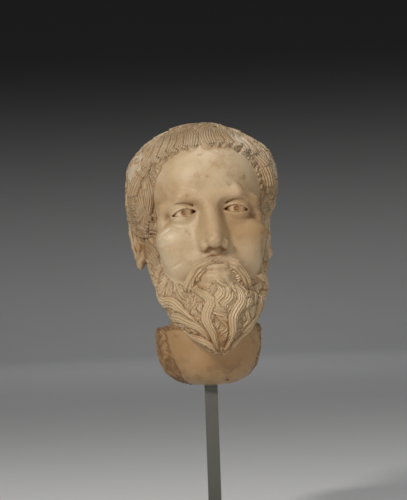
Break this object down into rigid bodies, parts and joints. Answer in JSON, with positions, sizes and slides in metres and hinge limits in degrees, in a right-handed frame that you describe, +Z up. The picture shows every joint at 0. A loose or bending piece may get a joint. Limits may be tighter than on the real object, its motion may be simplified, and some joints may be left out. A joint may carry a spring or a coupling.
{
  "type": "marble bust",
  "caption": "Carved marble head of a bearded man, broken at the neck, that lifts off a square pin on a steel post with a square base.",
  "frame": {"origin": "on the surface the stand rests on, under the middle of the post", "axes": "+Z up; -Y is the stand's front, and +X is on its viewer's right. The head is turned 4 degrees towards +X"},
  "size_m": [0.1883, 0.2404, 0.4984],
  "materials": {
    "marble": "old polished marble, warm cream with ochre staining in the hollows",
    "painted_steel": "satin warm grey paint",
    "stainless": "turned stainless steel",
    "felt": "dark grey wool felt",
    "cushion": "grey foam sheet",
    "resin": "cream filled resin"
  },
  "bodies": {
    "stand": {"base_felt": "felt", "base_plate": "painted_steel", "post_screw": "stainless", "post_tube": "painted_steel", "post_plug": "stainless", "mount_pin": "stainless", "pin_set_screw": "stainless", "neck_pad": "cushion"},
    "head": {"pin_socket": "stainless", "bedding_resin": "resin", "marble_head": "marble"}
  },
  "joints": [
    {"name": "head_lift", "type": "slide", "parent": "stand", "child": "head", "axis": [0, 0, 1], "range_m": [0, 0.1]}
  ]
}
